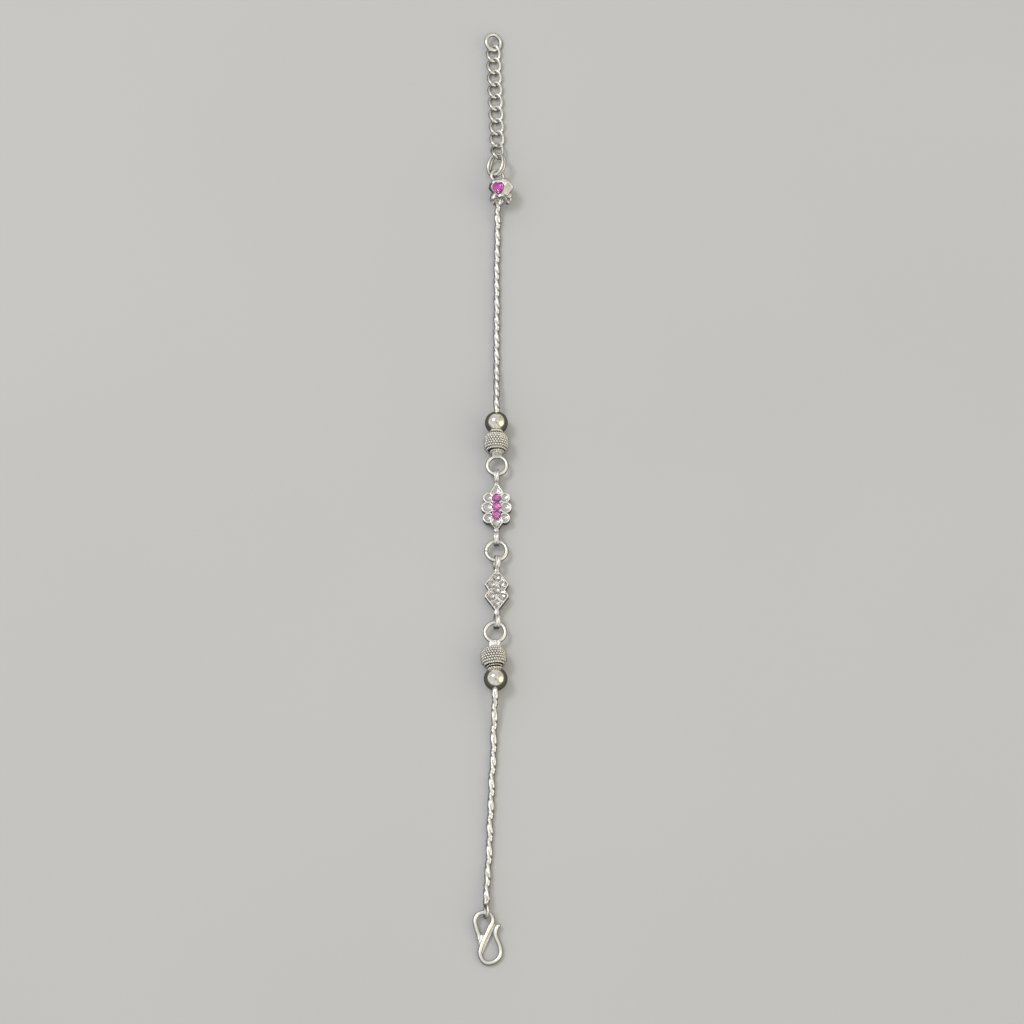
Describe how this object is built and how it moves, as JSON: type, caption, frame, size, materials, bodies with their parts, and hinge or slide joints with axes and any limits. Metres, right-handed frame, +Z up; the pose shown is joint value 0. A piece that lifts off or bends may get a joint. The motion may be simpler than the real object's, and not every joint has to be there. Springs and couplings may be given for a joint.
{
  "type": "charm bracelet",
  "caption": "Slim silver charm bracelet laid open: stone-set flower and diamond plaques between beads, twisted chains, bud charm, curb extension and S hook.",
  "frame": {"origin": "under the middle of the bounds, on the surface that the bracelet lies on", "axes": "+Y along the bracelet towards its extension chain, -Y towards its hook, +X to the right of it, +Z up from the surface"},
  "size_m": [0.0078, 0.2068, 0.0056],
  "materials": {
    "silver": "polished silver with fine wear",
    "mirror_silver": "mirror-polished silver",
    "grained_silver": "fine round grains over the whole drum",
    "pink_stone": "faceted magenta-pink stone"
  },
  "bodies": {
    "root": {"end_ring": "silver", "extension_link_1": "silver", "extension_link_2": "silver", "extension_link_3": "silver", "extension_link_4": "silver", "extension_link_5": "silver", "extension_link_6": "silver", "extension_link_7": "silver", "extension_link_8": "silver", "extension_link_9": "silver", "double_ring": "silver", "charm": "silver", "charm_stone": "pink_stone", "chain_upper": "silver", "ball_bead_upper": "mirror_silver", "grain_bead_upper": "grained_silver", "jump_ring_upper": "silver", "flower_connector": "silver", "jump_ring_middle": "silver", "diamond_connector": "silver", "ball_bead_lower": "mirror_silver", "grain_bead_lower": "grained_silver", "jump_ring_lower": "silver", "chain_lower": "silver", "hook_link": "silver", "s_hook": "silver"}
  },
  "joints": []
}
